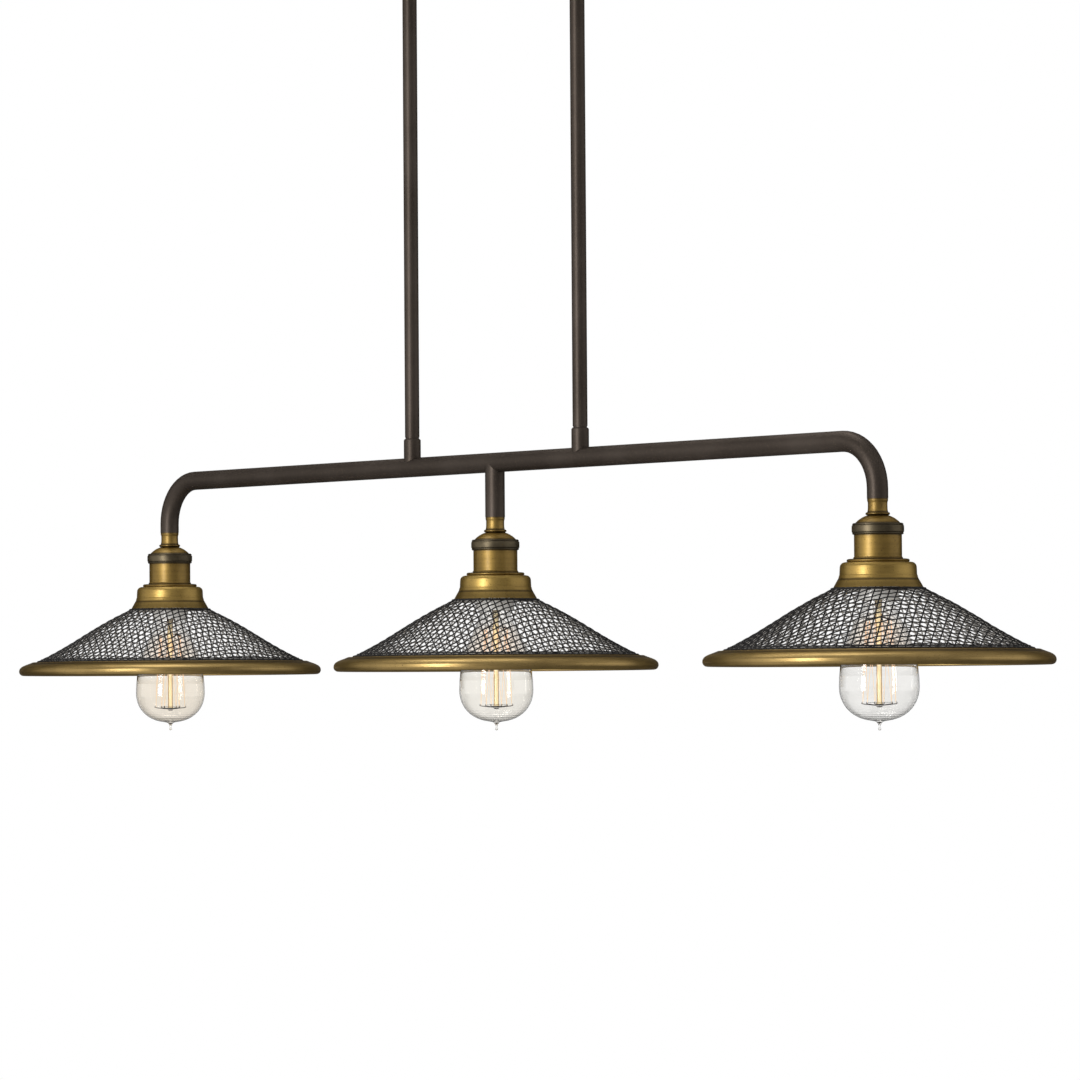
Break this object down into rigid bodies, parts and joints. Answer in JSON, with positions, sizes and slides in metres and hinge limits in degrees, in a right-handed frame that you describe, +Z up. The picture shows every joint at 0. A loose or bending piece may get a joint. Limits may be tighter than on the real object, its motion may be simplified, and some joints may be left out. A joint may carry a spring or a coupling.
{
  "type": "pendant light",
  "caption": "Linear pendant light: a ceiling canopy and rods carry a bent tube with brass lamp holders, wire-mesh cone shades and clear filament bulbs.",
  "frame": {"origin": "centre of the crossbar's ceiling face, midway between the two box-screw slots", "axes": "+X along the tube, towards the right lamp; +Y across it; +Z up, into the ceiling"},
  "size_m": [1.21, 0.28, 0.7943],
  "materials": {
    "aged_bronze": "satin dark bronze",
    "antique_brass": "brushed antique brass",
    "mesh_wire": "satin black wire",
    "zinc_steel": "zinc plated",
    "ground_green": "green dipped",
    "porcelain": "glazed porcelain",
    "cable": "matte jacket",
    "lamp_base": "bright brass",
    "clear_glass": "clear, faintly warm",
    "filament": "amber stem, lit strands"
  },
  "bodies": {
    "canopy": {"ceiling_crossbar": "zinc_steel", "ground_screw": "ground_green", "canopy_studs": "zinc_steel", "stud_locknuts": "zinc_steel", "canopy_cover": "aged_bronze", "canopy_ball_nuts": "aged_bronze", "terminal_block": "porcelain", "canopy_leads": "cable", "swivel_hubs": "zinc_steel", "swivel_seat_left": "aged_bronze", "swivel_seat_right": "aged_bronze"},
    "hanging_frame": {"rod_joiners": "zinc_steel", "bent_tube": "aged_bronze", "middle_drop": "aged_bronze", "shade_retainers": "aged_bronze", "insulator_left": "porcelain", "insulator_middle": "porcelain", "insulator_right": "porcelain", "lamp_cables": "cable", "swivel_ball_left": "aged_bronze", "upper_rod_left": "aged_bronze", "lower_rod_left": "aged_bronze", "rod_coupling_left": "aged_bronze", "swivel_ball_right": "aged_bronze", "upper_rod_right": "aged_bronze", "lower_rod_right": "aged_bronze", "rod_coupling_right": "aged_bronze", "holder_neck_left": "antique_brass", "holder_cap_left": "antique_brass", "holder_shell_left": "antique_brass", "shade_cup_left": "antique_brass", "shade_rim_left": "antique_brass", "holder_collar_left": "aged_bronze", "shade_mesh_left": "mesh_wire", "holder_neck_middle": "antique_brass", "holder_cap_middle": "antique_brass", "holder_shell_middle": "antique_brass", "shade_cup_middle": "antique_brass", "shade_rim_middle": "antique_brass", "holder_collar_middle": "aged_bronze", "shade_mesh_middle": "mesh_wire", "holder_neck_right": "antique_brass", "holder_cap_right": "antique_brass", "holder_shell_right": "antique_brass", "shade_cup_right": "antique_brass", "shade_rim_right": "antique_brass", "holder_collar_right": "aged_bronze", "shade_mesh_right": "mesh_wire", "clamp_washers": "antique_brass", "socket_contacts": "lamp_base"},
    "bulb_left": {"bulb_base_left": "lamp_base", "bulb_glass_left": "clear_glass", "filament_left": "filament"},
    "bulb_middle": {"bulb_base_middle": "lamp_base", "bulb_glass_middle": "clear_glass", "filament_middle": "filament"},
    "bulb_right": {"bulb_base_right": "lamp_base", "bulb_glass_right": "clear_glass", "filament_right": "filament"}
  },
  "joints": [
    {"name": "frame_swing", "type": "hinge", "parent": "canopy", "child": "hanging_frame", "pos_m": [0, 0, -0.043], "axis": [1, 0, 0], "range_deg": [-20, 20]},
    {"name": "bulb_left_release", "type": "slide", "parent": "hanging_frame", "child": "bulb_left", "axis": [0, 0, -1], "range_m": [0, 0.03]},
    {"name": "bulb_middle_release", "type": "slide", "parent": "hanging_frame", "child": "bulb_middle", "axis": [0, 0, -1], "range_m": [0, 0.03]},
    {"name": "bulb_right_release", "type": "slide", "parent": "hanging_frame", "child": "bulb_right", "axis": [0, 0, -1], "range_m": [0, 0.03]}
  ]
}
